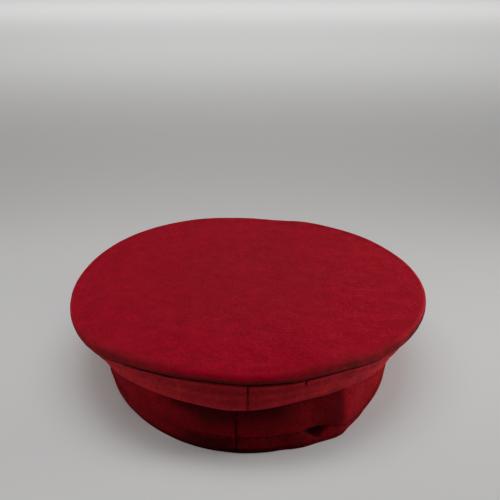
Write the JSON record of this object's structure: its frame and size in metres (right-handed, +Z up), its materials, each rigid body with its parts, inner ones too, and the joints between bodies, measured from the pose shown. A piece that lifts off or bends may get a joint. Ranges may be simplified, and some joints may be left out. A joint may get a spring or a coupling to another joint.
{
  "type": "captain hat",
  "caption": "Soft red wool-felt captain hat with a wide flat crown, rolled rim, tapered side panel, oval headband and plain peak, lying on a table.",
  "frame": {"origin": "on the table, below the middle of the cap's length and width", "axes": "+Z up, +Y to the front, where the peak is, +X to the right-hand side seen from behind"},
  "size_m": [0.2134, 0.2714, 0.0495],
  "materials": {
    "crown_felt": "deep red wool felt with a soft brushed nap",
    "band_felt": "darker red wool felt, brushed and mottled",
    "peak_felt": "deep red wool felt over a stiff board"
  },
  "bodies": {
    "root": {"crown_top": "crown_felt", "crown_side": "crown_felt", "band": "band_felt", "peak": "peak_felt"}
  },
  "joints": []
}
